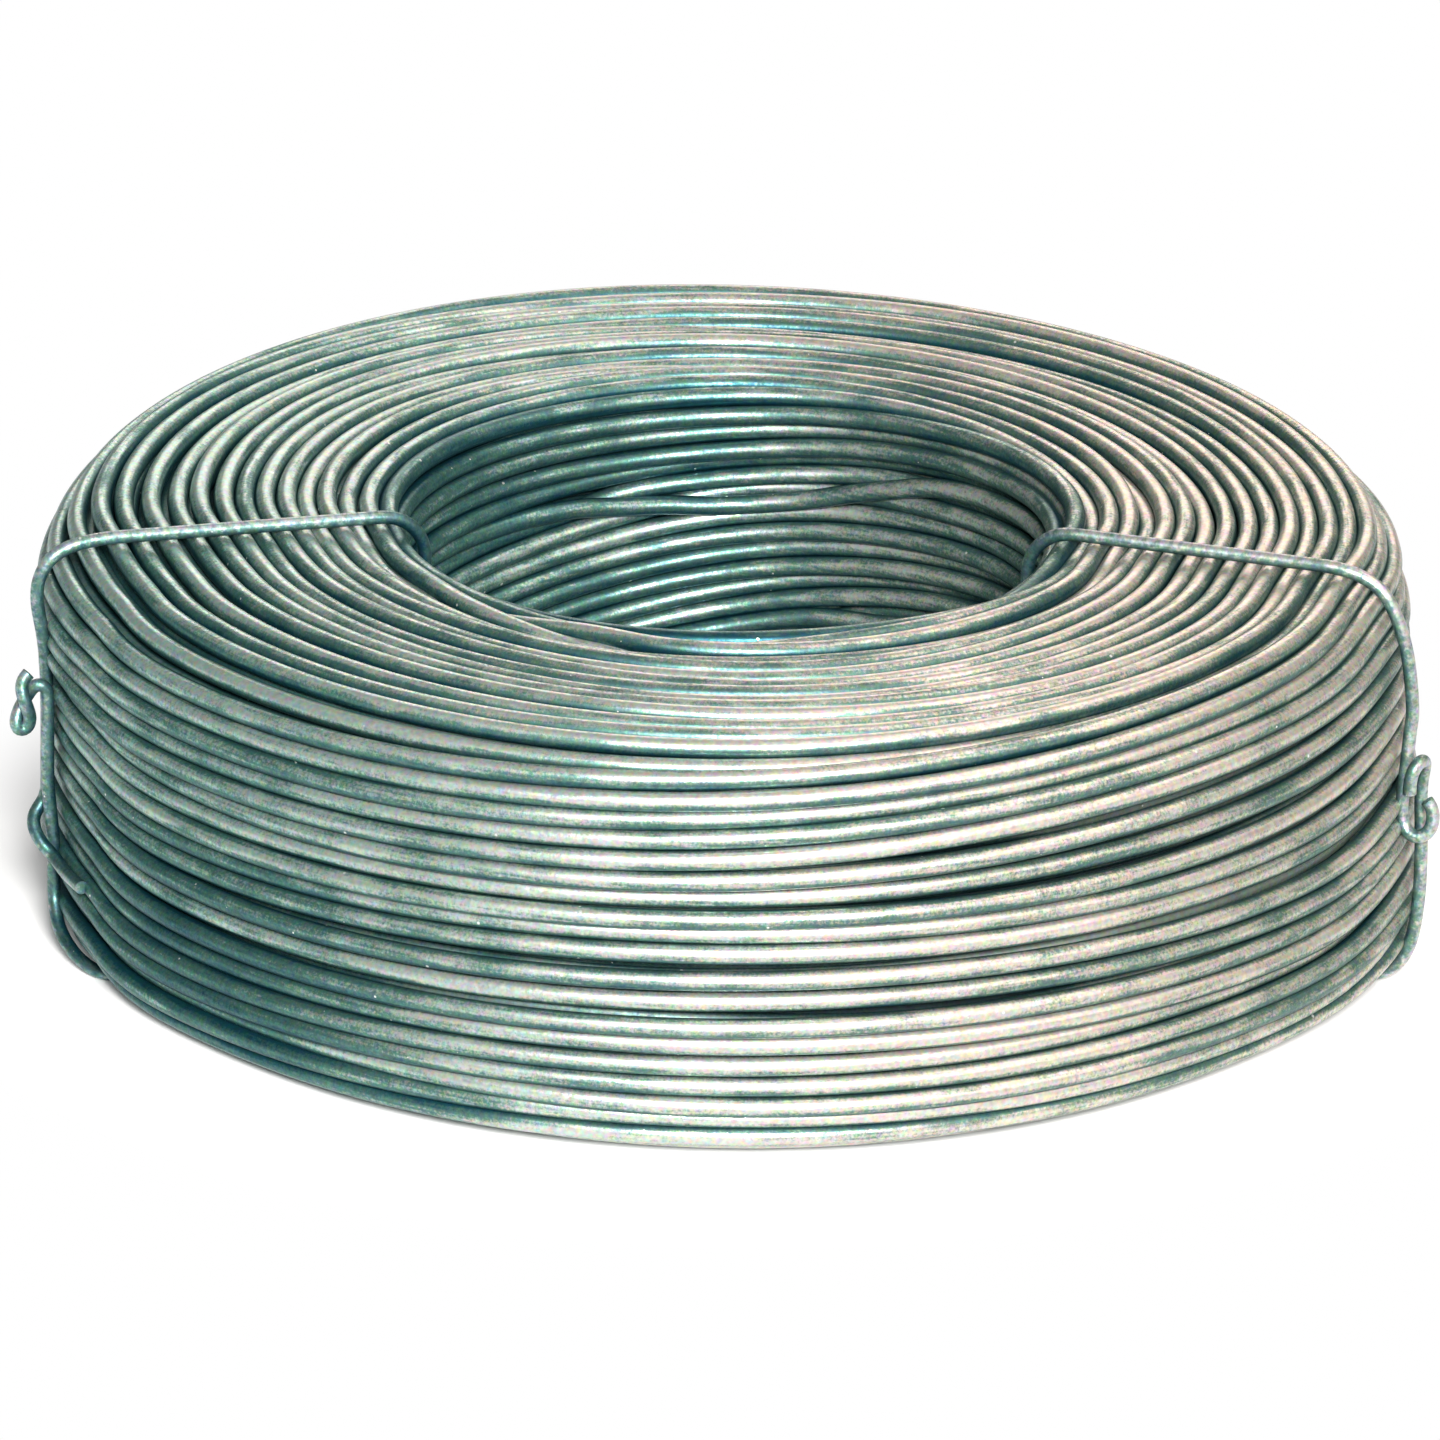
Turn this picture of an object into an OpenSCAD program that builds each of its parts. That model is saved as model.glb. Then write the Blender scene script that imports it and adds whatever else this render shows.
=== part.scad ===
// Coil of galvanized tie wire, lying on its end and held by two tie wires

/* [Coil] */
// Outside diameter over the wound wire
coil_od = 112; // [100:1:130]
// Diameter of the open bore
bore_d = 52; // [40:1:60]
// Height of the coil as it lies on its end
coil_h = 35; // [33:0.5:42]
// Radius of the section's top outer shoulder
shoulder_r = 6.5; // [6:0.5:12]
// Radius of the section's bottom outer edge
foot_r = 5.5; // [4:0.5:10]
// Radius of the two edges round the bore
lip_r = 3; // [2.5:0.5:5]

/* [Wire] */
// Diameter of the coil's wire
wire_d = 1.65; // [1.4:0.05:2]
// Depth to which neighbouring turns nest into each other, for one wire diameter
nest = 0.06; // [0.03:0.01:0.1]
// Depth of the bearing band worn on the lowest turns
bearing_depth = 0.05; // [0.03:0.01:0.08]

/* [Ties] */
// Diameter of the tie wire
tie_d = 1.1; // [0.8:0.05:1.2]
// Clearance between a tie and the coil
tie_gap = 0.08; // [0.05:0.01:0.15]
// Angle from the coil's widest line to each tie, towards the front
tie_angle = 15.5; // [0:0.5:40]
// Radius at which a tie's ends turn out of the loop into the twist
root_r = 0.9; // [0.8:0.05:1.2]
// Radius at which a twisted pair folds down along the coil
fold_r = 1.3; // [1.25:0.05:1.8]

/* [Left tie] */
// Depth of the twisted pair's root below the tie's top run
pair_drop = 11.9; // [11.5:0.1:14]
// Length of the twisted pair
pair_l = 5.2; // [4.8:0.1:7]
// Full turns in the twisted pair
pair_twists = 1; // [0.75:0.25:1.25]
// Length of the straight cut end past the pair
cut_l = 0.4; // [0.2:0.1:1.5]

/* [Hidden] */
coil_r = coil_od / 2;
bore_r = bore_d / 2;
wire_r = wire_d / 2;
tie_r = tie_d / 2;
// Half the clearance between the two strands of the twisted pair
strand_gap = 0.03;
// Distance from the pair's axis to each of its strands
strand_r = tie_r + strand_gap;
// How much faster the pair turns towards its end, as a power of the length
twist_gain = 1.15;
// Height of a tie's lowest run above the floor, bedded in the underside
bed_z = tie_r + bearing_depth;
// Distance from a tie's centre line to the coil, also in its channel
bed_w = tie_r + tie_gap;
// Height of a tie's top run
tie_top = coil_h + bed_w;
// Height of the twisted pair's root
pair_root = tie_top - pair_drop;
coil_facets = 120;
wire_facets = 24;
tie_sides = 10;
ring_step = 1.2;
bend_steps = 3;

// The four corners of a section, each as centre, radius and first angle, from the bottom outer one round
function section(inner, outer, low, high, foot, shoulder, lip_high, lip_low) = [
    [[outer - foot, low + foot], foot, -90],
    [[outer - shoulder, high - shoulder], shoulder, 0],
    [[inner + lip_high, high - lip_high], lip_high, 90],
    [[inner + lip_low, low + lip_low], lip_low, 180]
];

// A point on a corner at an angle
function on_corner(c, a) = c[0] + c[1] * [cos(a), sin(a)];

// Length of the straight run from one corner to the next
function run_after(cs, i) =
    norm(on_corner(cs[(i + 1) % 4], cs[(i + 1) % 4][2]) - on_corner(cs[i], cs[i][2] + 90));

// Length of a corner with the run after it
function leg(cs, i) = cs[i][1] * PI / 2 + run_after(cs, i);

// Length of the whole section outline
function around(cs) = leg(cs, 0) + leg(cs, 1) + leg(cs, 2) + leg(cs, 3);

// The point at a distance along the section outline
function spot(cs, s, i = 0) =
    let (arc = cs[i][1] * PI / 2)
    let (from = on_corner(cs[i], cs[i][2] + 90))
    let (to = on_corner(cs[(i + 1) % 4], cs[(i + 1) % 4][2]))
    s < arc ? on_corner(cs[i], cs[i][2] + 90 * s / arc) :
    s < leg(cs, i) ? from + (to - from) * (s - arc) / norm(to - from) :
    spot(cs, s - leg(cs, i), (i + 1) % 4);

// Centres of the turns that show, laid side by side round the section
turn_line = section(bore_r + wire_r, coil_r - wire_r, wire_r - bearing_depth, coil_h - wire_r,
    foot_r - wire_r, shoulder_r - wire_r, lip_r - wire_r, lip_r - wire_r);
turn_count = round(around(turn_line) / (wire_d * (1 - nest)));
turn_centres = [for (i = [0 : turn_count - 1]) spot(turn_line, around(turn_line) * i / turn_count)];

// Centre line of a tie's loop, clear of the coil but bedded in its underside
tie_line = section(bore_r - bed_w, coil_r + bed_w, bed_z, coil_h + bed_w,
    foot_r, shoulder_r + bed_w, lip_r + bed_w, lip_r);
tie_side_x = coil_r + bed_w;

// Outline inside which a tie's channel leaves the section whole
bed_line = section(bore_r, coil_r, bed_z + bed_w, coil_h + coil_od,
    foot_r - bed_w, wire_r, wire_r, lip_r - bed_w);

// A unit vector
function unit(v) = v / norm(v);

// Direction of a route at one of its points
function heading(route, i) =
    unit(route[min(i + 1, len(route) - 1)] - route[max(i - 1, 0)]);

// A vector with its part along a direction taken out
function squared(v, along) = unit(v - (v * along) * along);

// Side vectors carried along a route without turning about it
function sides_along(route, first) = [
    for (i = 0, n = squared(first, heading(route, 0));
        i < len(route);
        i = i + 1, n = squared(n, heading(route, min(i, len(route) - 1)))) n
];

// A round wire swept along a route, cut square at both ends
module swept_wire(route, radius, sides, first) {
    n = sides_along(route, first);
    points = [
        for (i = [0 : len(route) - 1])
            let (t = heading(route, i))
            let (b = cross(t, n[i]))
            for (k = [0 : sides - 1])
                route[i] + radius * (cos(360 * k / sides) * n[i] + sin(360 * k / sides) * b)
    ];
    last = (len(route) - 1) * sides;
    faces = concat(
        [[for (k = [0 : sides - 1]) k]],
        [[for (k = [sides - 1 : -1 : 0]) last + k]],
        [for (i = [0 : len(route) - 2]) for (k = [0 : sides - 1])
            [i * sides + k, (i + 1) * sides + k,
             (i + 1) * sides + (k + 1) % sides, i * sides + (k + 1) % sides]]
    );
    polyhedron(points, faces, convexity = 10);
}

// Axis of the twisted pair at a distance from its root, straight down after the fold
function pair_axis(u) =
    let (arc = fold_r * PI / 2)
    let (a = 90 * min(u / arc, 1))
    [tie_side_x + root_r + fold_r * sin(a), 0, pair_root - fold_r * (1 - cos(a)) - max(u - arc, 0)];

// Direction across that axis, away from the coil
function pair_out(u) =
    let (a = 90 * min(u / (fold_r * PI / 2), 1))
    [sin(a), 0, cos(a)];

// One strand of the pair at a distance from the root, from its angle there
function strand(u, side) =
    let (a = side + 360 * pair_twists * pow(u / pair_l, twist_gain))
    pair_axis(u) + strand_r * (cos(a) * pair_out(u) + sin(a) * [0, 1, 0]);

// A strand from its root to the end of the twist
function curl(side) =
    let (steps = ceil(pair_l / ring_step * 3))
    [for (i = [0 : steps]) strand(pair_l * i / steps, side)];

// A route with a straight cut end added to it
function cut_off(route) =
    let (end = route[len(route) - 1])
    let (way = unit(end - route[len(route) - 2]))
    concat(route, [end + way * cut_l / 2, end + way * cut_l]);

// The bend by which the tie turns outwards into the pair, from above it or from below it
function root_bend(side) = [
    for (a = [10 : 20 : 80])
        [tie_side_x + root_r * (1 - cos(a)), 0, pair_root + side * (strand_r + root_r * (1 - sin(a)))]
];

// A list in reverse order
function reversed(v) = [for (i = [len(v) - 1 : -1 : 0]) v[i]];

// The part of a tie that lies close round the section, between two distances along its line
function loop(first, last) =
    let (steps = ceil((last - first) / ring_step / 1.5))
    [for (i = [0 : steps]) let (p = spot(tie_line, first + (last - first) * i / steps)) [p[0], 0, p[1]]];

// Points of a hand-bent end, from tie diameters outwards and to the front, and a depth below the top run
function bent(points, front) = [
    for (p = points) [tie_side_x + p[0] * tie_d, front * p[1] * tie_d, tie_top - p[2]]
];

// A smooth route through chosen points
function through(v) = concat([
    for (i = [0 : len(v) - 2], t = [0 : 1 / bend_steps : 1 - 0.5 / bend_steps])
        let (a = v[max(i - 1, 0)], b = v[i], c = v[i + 1], d = v[min(i + 2, len(v) - 1)])
        0.5 * (2 * b + (c - a) * t + (2 * a - 5 * b + 4 * c - d) * t * t
            + (3 * b - a - 3 * c + d) * t * t * t)
], [v[len(v) - 1]]);

// The left tie's upper end, from its twist over the shoulder to the top run
left_upper = bent([
    [0.05, 0, 9.4], [0.4, 0, 7.6], [0.8, 0, 5.2], [0.7, 0, 3.2],
    [-0.15, 0, 1.5], [-1.7, 0, 0.5], [-4, 0, 0.06], [-6.5, 0, 0]
], 1);

// The left tie's long end, from its twist down behind the tie and hooked round it to the front
left_hook = bent([
    [1, -0.7, 17.2], [0.35, -1.1, 18.4], [0.05, -1.15, 20.1], [0.05, -1.17, 22], [0.3, -1.2, 23.1],
    [1.05, -0.9, 23.9], [1.4, -0.2, 24.8], [1.05, 0.75, 25.9], [0.4, 1.35, 26.7], [0.2, 2.7, 27],
    [0, 4.5, 27.1], [-0.4, 7.5, 26.8]
], 1);

// The right tie's upper end, from its cut tip round its hook and up to the top run
right_upper = bent([
    [2.6, 0.7, 18.6], [3.1, 0.65, 19.2], [3.15, 0.8, 20.4], [2.6, 1, 21.2], [1.75, 1.1, 21.3],
    [0.9, 0.8, 20.5], [0.8, 0.65, 18.6], [0.9, 0.35, 16.2], [1.05, 0.15, 13.1], [1.1, 0, 11.3],
    [0.5, 0, 6.9], [-0.45, 0, 3.7], [-1.65, 0, 1.6], [-3.3, 0, 0.5], [-5.2, 0, 0.06], [-7, 0, 0]
], -1);

// The right tie's lower end, standing off the coil and hooked over the upper end
right_lower = concat(
    [for (p = [[-0.5, 0.7], [1, 2], [2, 4.4], [2.45, 8.2]]) [tie_side_x + p[0] * tie_d, 0, p[1]]],
    bent([
        [2.3, -0.35, 23.1], [2.1, -0.75, 19.6], [2.25, -0.65, 16.8], [2.35, -0.4, 15],
        [2.25, 0.3, 13.75], [1.9, 1.1, 13.9], [1.5, 1.55, 15], [1.25, 1.7, 16.2]
    ], -1)
);

// Distances along a tie's line to the start of its top run, the end of its underside and its side
top_start = leg(tie_line, 0) + tie_line[1][1] * PI / 2;
under_end = around(tie_line);
side_start = under_end + tie_line[0][1] * PI / 2;

// The left tie: one wire from its upper cut end round the section to its hooked end
left_route = concat(
    reversed(cut_off(curl(0))),
    reversed(root_bend(1)),
    through(left_upper),
    loop(top_start + ring_step, side_start + pair_root - strand_r - root_r - tie_line[0][0][1]),
    root_bend(-1),
    curl(180),
    through(left_hook)
);

// The right tie: one wire between two ends hooked over each other
right_route = concat(
    through(right_upper),
    loop(top_start + ring_step, under_end),
    through(right_lower)
);

// The straight bed of one tie in the coil's underside
module tie_bed() {
    rotate([90, 0, 0])
        linear_extrude(height = 2 * bed_w, center = true)
            difference() {
                translate([bore_r - wire_d, -wire_d])
                    square([coil_r - bore_r + 2 * wire_d, foot_r + wire_d]);
                polygon([for (c = bed_line) for (a = [0 : 15 : 90]) on_corner(c, c[2] + a)]);
            }
}

// Places a tie or its bed at its angle, on the right or the left
module at_tie(angle) {
    rotate([0, 0, angle]) children();
}

// All the turns as one turned solid with its bore, grooved on every face
module wire_coil() {
    color("#9aa3a0")
    difference() {
        intersection() {
            rotate_extrude($fn = coil_facets) {
                for (p = turn_centres) translate(p) circle(r = wire_r, $fn = wire_facets);
                polygon(turn_centres);
            }
            translate([-coil_od, -coil_od, 0]) cube([2 * coil_od, 2 * coil_od, 2 * coil_h]);
        }
        at_tie(-tie_angle) tie_bed();
        at_tie(180 + tie_angle) tie_bed();
    }
}

// The left tie
module left_tie() {
    color("#8a9391")
    at_tie(180 + tie_angle)
        swept_wire(left_route, tie_r, tie_sides, [0, 1, 0]);
}

// The right tie
module right_tie() {
    color("#8a9391")
    at_tie(-tie_angle)
        swept_wire(right_route, tie_r, tie_sides, [0, 1, 0]);
}

wire_coil();
left_tie();
right_tie();
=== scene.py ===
import math

import bmesh
import bpy
import numpy as np
from mathutils import Matrix, Vector


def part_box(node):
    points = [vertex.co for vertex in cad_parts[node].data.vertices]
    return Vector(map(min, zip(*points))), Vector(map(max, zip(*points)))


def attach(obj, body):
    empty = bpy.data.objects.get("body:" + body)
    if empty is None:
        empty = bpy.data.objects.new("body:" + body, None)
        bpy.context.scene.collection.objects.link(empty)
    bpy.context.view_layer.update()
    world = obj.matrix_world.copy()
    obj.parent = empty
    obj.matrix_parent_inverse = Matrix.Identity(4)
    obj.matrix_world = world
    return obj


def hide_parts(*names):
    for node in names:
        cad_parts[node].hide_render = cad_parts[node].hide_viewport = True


bl_info = {
    "name": "Galvanized Wire Coil",
    "version": (1, 0, 0),
    "blender": (4, 5, 0),
    "location": "View3D > Sidebar > Wire Coil",
    "description": "Winds a coil of galvanized wire with its two twisted ties and lights it",
    "category": "Add Mesh",
}

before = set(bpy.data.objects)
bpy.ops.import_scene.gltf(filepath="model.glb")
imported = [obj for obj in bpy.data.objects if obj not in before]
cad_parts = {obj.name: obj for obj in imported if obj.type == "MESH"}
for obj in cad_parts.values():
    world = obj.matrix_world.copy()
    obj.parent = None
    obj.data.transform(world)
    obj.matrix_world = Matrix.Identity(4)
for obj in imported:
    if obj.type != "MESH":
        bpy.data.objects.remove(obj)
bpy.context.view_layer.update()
COIL_LOW, COIL_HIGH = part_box("wire_coil")
COIL_R = max(COIL_HIGH.x, COIL_HIGH.y)
COIL_H = COIL_HIGH.z
BODY = "root"
MM = 0.001


def coil():
    """The coil's own sizes and finish, as set in the sidebar."""
    return bpy.context.scene.wire_coil_sizes


def ties():
    """The sizes of the two ties."""
    return bpy.context.scene.wire_tie_sizes


def stage():
    """The camera, floor and lamps."""
    return bpy.context.scene.wire_stage


# Settings


class WireCoilSizes(bpy.types.PropertyGroup):
    """Sizes of the winding, all in metres"""

    bore_radius: bpy.props.FloatProperty(
        name="Bore radius", description="Radius of the open bore inside the innermost turns",
        default=0.026, min=0.015, unit="LENGTH")
    wire_diameter: bpy.props.FloatProperty(
        name="Wire diameter", description="Diameter of the galvanized wire",
        default=0.00165, min=0.0005, unit="LENGTH")
    shoulder_radius: bpy.props.FloatProperty(
        name="Shoulder radius", description="Radius of the top outer shoulder", default=0.0065, unit="LENGTH")
    foot_radius: bpy.props.FloatProperty(
        name="Foot radius", description="Radius of the bottom outer edge", default=0.0055, unit="LENGTH")
    lip_radius: bpy.props.FloatProperty(
        name="Lip radius", description="Radius of the edges round the bore", default=0.003, unit="LENGTH")
    turns: bpy.props.IntProperty(
        name="Outer turns", description="Turns that show round the whole section", default=70, min=20)
    under_turns: bpy.props.IntProperty(
        name="Under turns", description="Turns of the layer beneath, seen through gaps", default=62, min=20)
    slack: bpy.props.FloatProperty(
        name="Slack", description="How far the outer turns lie inside the coil's largest outline on average",
        default=0.0002, unit="LENGTH")
    drift: bpy.props.FloatProperty(
        name="Drift", description="How far neighbouring turns wander together", default=0.0009, unit="LENGTH")
    stray: bpy.props.FloatProperty(
        name="Stray", description="How far each turn wanders by itself", default=0.00046, unit="LENGTH")
    crowding: bpy.props.FloatProperty(
        name="Crowding", description="Share of turns that the bore holds beyond a single flat layer",
        default=0.14, subtype="FACTOR")
    sink: bpy.props.FloatProperty(
        name="Sink", description="How far turns stand proud of or sink between their neighbours",
        default=0.00036, unit="LENGTH")
    stiffness: bpy.props.FloatProperty(
        name="Stiffness", description="Length over which the wire takes its bends", default=0.014, unit="LENGTH")
    bore_tilt: bpy.props.FloatProperty(
        name="Bore tilt", description="How far the turns in the bore slant up towards the right",
        default=0.0046, unit="LENGTH")
    seed: bpy.props.IntProperty(name="Seed", description="Seed of the turns' wander", default=7)


class WireTieSizes(bpy.types.PropertyGroup):
    """Sizes of the tie wires, all in metres"""

    wire_diameter: bpy.props.FloatProperty(
        name="Tie wire diameter", description="Diameter of the tie wire", default=0.0011, unit="LENGTH")
    gap: bpy.props.FloatProperty(
        name="Gap", description="Clearance between a tie and the coil", default=0.00008, unit="LENGTH")
    bed: bpy.props.FloatProperty(
        name="Bed", description="Height of a tie's lowest run above the floor", default=0.00005, unit="LENGTH")
    foot_radius: bpy.props.FloatProperty(
        name="Foot radius", description="Radius at which a tie turns under the coil", default=0.0026,
        unit="LENGTH")
    pair_drop: bpy.props.FloatProperty(
        name="Pair drop", description="Depth of the twisted pair's root below the tie's top run",
        default=0.0116, unit="LENGTH")
    pair_length: bpy.props.FloatProperty(
        name="Pair length", description="Length of the twisted pair", default=0.0046, unit="LENGTH")
    pair_lean: bpy.props.FloatProperty(
        name="Pair lean", description="How far the twisted pair stands off towards its tip, for one length",
        default=0.12)
    foot_swing: bpy.props.FloatProperty(
        name="Foot swing", description="How far the left tie swings to the front at its foot", default=0.0078,
        unit="LENGTH")
    pair_turns: bpy.props.FloatProperty(
        name="Pair turns", description="Full turns in the twisted pair", default=0.5)
    root_radius: bpy.props.FloatProperty(
        name="Root radius", description="Radius at which the ends turn out into the twist",
        default=0.0008, unit="LENGTH")
    fold_radius: bpy.props.FloatProperty(
        name="Fold radius", description="Radius at which the pair folds down along the coil",
        default=0.0009, unit="LENGTH")
    angle: bpy.props.FloatProperty(
        name="Angle", description="Angle from the coil's widest line to each tie, towards the front",
        default=math.radians(15.5), subtype="ANGLE")


class WireStage(bpy.types.PropertyGroup):
    """Camera, floor and lamps"""

    focal_length: bpy.props.FloatProperty(
        name="Focal length", description="Lens on a 36 mm sensor, in millimetres", default=307.06, unit="CAMERA")
    distance: bpy.props.FloatProperty(
        name="Distance", description="From the lens to the coil's middle", default=1.00856, unit="LENGTH")
    elevation: bpy.props.FloatProperty(
        name="Elevation", description="Height of the view above level", default=math.radians(22.196),
        subtype="ANGLE")
    roll: bpy.props.FloatProperty(
        name="Roll", description="Lean of the camera about its own axis", default=math.radians(1.42),
        subtype="ANGLE")
    aim_low: bpy.props.FloatProperty(
        name="Aim low", description="How far below the coil's middle the picture's middle lies",
        default=0.0019, unit="LENGTH")
    aim_left: bpy.props.FloatProperty(
        name="Aim left", description="How far left of the coil's middle the picture's middle lies",
        default=0.00025, unit="LENGTH")
    floor_colour: bpy.props.StringProperty(
        name="Floor colour", description="sRGB hex colour of the floor", default="#f4f4f4")


# Colours and nodes


def linear(hex_colour, alpha=1.0):
    """An sRGB hex colour as linear light."""
    parts = [int(hex_colour[i:i + 2], 16) / 255 for i in (1, 3, 5)]
    return tuple(c / 12.92 if c <= 0.04045 else ((c + 0.055) / 1.055) ** 2.4 for c in parts) + (alpha,)


def add_node(tree, kind, inputs=None, **settings):
    """Adds a node, sets its settings, and fills its inputs with values or links."""
    node = tree.nodes.new(kind)
    for name, value in settings.items():
        setattr(node, name, value)
    for key, value in (inputs or {}).items():
        if isinstance(value, bpy.types.NodeSocket):
            tree.links.new(value, node.inputs[key])
        else:
            node.inputs[key].default_value = value
    return node


# The winding


STATIONS = 256

# Where turns slip sideways by given amounts: azimuth and its reach in degrees, distance along the
# section's outline from the start of the foot and its reach in mm, and the slip in mm towards the bore
SLIPS = (
    (205, 24, 11, 2.0, -1.4), (345, 20, 13, 3.4, -2.8), (322, 13, 19, 1.8, 1.2), (203, 25, 31.5, 3.0, -1.6),
    (322, 26, 33, 3.4, 1.8), (205, 20, 23, 1.4, -0.7), (315, 15, 51, 7.0, 1.8), (236, 18, 52, 8.0, 1.0),
    (95, 50, 45, 10.0, 2.8), (158, 22, 62, 4.2, 1.5), (20, 22, 60, 4.0, -0.6), (275, 16, 45, 5.0, -0.4),
)

# Gaps that stay open between two turns: azimuth and its reach, distance along the outline, half its width
GAPS = (
    (308, 30, 13.4, 0.24), (328, 13, 17.6, 0.55), (300, 26, 27.2, 0.20), (216, 15, 27.8, 0.22),
    (217, 16, 26.0, 0.18), (219, 20, 45.6, 0.26), (220, 20, 48.4, 0.22), (226, 14, 41.4, 0.18),
    (112, 15, 44.6, 0.28), (100, 17, 47.0, 0.28), (52, 9, 52.4, 0.24), (96, 20, 62.4, 0.32),
    (190, 9, 43.0, 0.22), (188, 9, 50.6, 0.22), (-2, 9, 46.4, 0.22), (2, 9, 54.2, 0.22),
)

# Places where the coil swells out: azimuth and its reach, distance along the outline and its reach, in mm
SWELLS = (
    (195.5, 11, 29.0, 5.0, 0.85), (206, 9, 2.6, 2.6, 1.1), (195.5, 6, 11.0, 5.0, -0.3), (344.5, 15, 11.0, 6.5, 2.1),
    (344.5, 12, 3.3, 3.0, 1.8), (344.5, 10, 23.0, 4.0, 0.5),
)


def tie_azimuths():
    """Azimuths of the left and the right tie."""
    return (math.pi + ties().angle, -ties().angle)


def apart_from(az, middle):
    """Signed angle from a middle to each azimuth."""
    return (az - middle + math.pi) % (2 * math.pi) - math.pi


def near_tie(az, spread):
    """1 at a tie, falling to 0 away from it."""
    return sum(np.exp(-apart_from(az, a) ** 2 / (2 * spread ** 2)) for a in tie_azimuths())


def floor_lift(az):
    """How far the lowest turns are lifted where a tie lies under them."""
    t = ties()
    bed = near_tie(az, math.radians(6.5)) + np.exp(-apart_from(az, t.angle + math.pi + 0.07) ** 2 / 0.02)
    return np.minimum(bed, 1) * (t.wire_diameter + 2 * t.gap + 0.00006)


def outline(s, r0, r1, z0, z1, foot, shoulder, lip_high, lip_low):
    """Points (r, z) and outward directions at distances s along a section's outline, and its length."""
    quarter = math.pi / 2
    legs = [foot * quarter, z1 - shoulder - z0 - foot, shoulder * quarter, r1 - shoulder - r0 - lip_high,
            lip_high * quarter, z1 - lip_high - z0 - lip_low, lip_low * quarter, r1 - foot - r0 - lip_low]
    ends = np.cumsum(np.broadcast_arrays(*legs, s)[:8], axis=0)
    pieces = [
        (r1 - foot, z0 + foot, foot, -quarter), (r1, z0 + foot, None, 0.0),
        (r1 - shoulder, z1 - shoulder, shoulder, 0.0), (r1 - shoulder, z1, None, quarter),
        (r0 + lip_high, z1 - lip_high, lip_high, quarter), (r0, z1 - lip_high, None, 2 * quarter),
        (r0 + lip_low, z0 + lip_low, lip_low, 2 * quarter), (r0 + lip_low, z0, None, 3 * quarter)]
    s = s % ends[-1]
    r, z, angle = np.zeros_like(s), np.zeros_like(s), np.zeros_like(s)
    done = np.zeros(s.shape, bool)
    for (pr, pz, radius, first), leg, end in zip(pieces, legs, ends):
        here = ~done & (s <= end + 1e-12)
        done |= here
        along = s - (end - leg)
        if radius is None:
            a = np.full_like(s, first)
            x, y = pr - along * math.sin(first), pz + along * math.cos(first)
        else:
            a = first + along / radius
            x, y = pr + radius * np.cos(a), pz + radius * np.sin(a)
        r, z, angle = np.where(here, x, r), np.where(here, y, z), np.where(here, a, angle)
    return r, z, np.cos(angle), np.sin(angle), ends[-1]


def winding_corners(az):
    """The mean line of the turns' centres at each azimuth, for outline()."""
    c, t = coil(), ties()
    inset = c.slack + c.wire_diameter / 2
    near = near_tie(az, math.radians(6.5))
    foot = np.maximum(c.foot_radius - inset - near * (t.wire_diameter / 2 + t.gap), 0.0008)
    return (c.bore_radius + inset, COIL_R - inset, c.wire_diameter / 2 + floor_lift(az), COIL_H - inset,
            foot, c.shoulder_radius - inset, c.lip_radius - inset, c.lip_radius - inset)


def round_the_section():
    """Length of the mean line round the section at the front."""
    front = np.array([-math.pi / 2])
    return float(outline(front * 0, *winding_corners(front))[4][0])


def smooth_noise(rng, count, reach):
    """A closed run of noise of unit size, with bumps about reach points long."""
    f = np.fft.rfftfreq(count)
    spectrum = (rng.normal(size=f.size) + 1j * rng.normal(size=f.size)) * np.exp(-(f * reach) ** 2)
    spectrum[0] = 0
    run = np.fft.irfft(spectrum, count)
    return run / run.std()


def field_noise(rng, rows, columns, reach_rows, reach_columns):
    """A closed patch of noise of unit size."""
    fr = np.fft.fftfreq(rows)[:, None] * reach_rows
    fc = np.fft.rfftfreq(columns)[None] * reach_columns
    shape = (rows, columns // 2 + 1)
    spectrum = (rng.normal(size=shape) + 1j * rng.normal(size=shape)) * np.exp(-fr ** 2 - fc ** 2)
    spectrum[0, 0] = 0
    patch = np.fft.irfft2(spectrum, (rows, columns))
    return patch / patch.std()


def bumps(table, az, s, length):
    """The sum of a table's soft bumps at each azimuth and distance along the outline."""
    total = np.zeros_like(s)
    for middle, reach, place, spread, amount in table:
        across = apart_from(az, math.radians(middle)) / math.radians(reach)
        along = ((s - place * MM + length / 2) % length - length / 2) / (spread * MM)
        total += amount * MM * np.exp(-(across ** 2 + along ** 2) / 2)
    return total


def window(x, a, b, c, d):
    """0 before a, 1 from b to c, 0 after d, with soft slopes."""
    up = np.clip((x - a) / (b - a), 0, 1)
    down = np.clip((d - x) / (d - c), 0, 1)
    soft = np.minimum(up, down)
    return soft * soft * (3 - 2 * soft)


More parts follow.
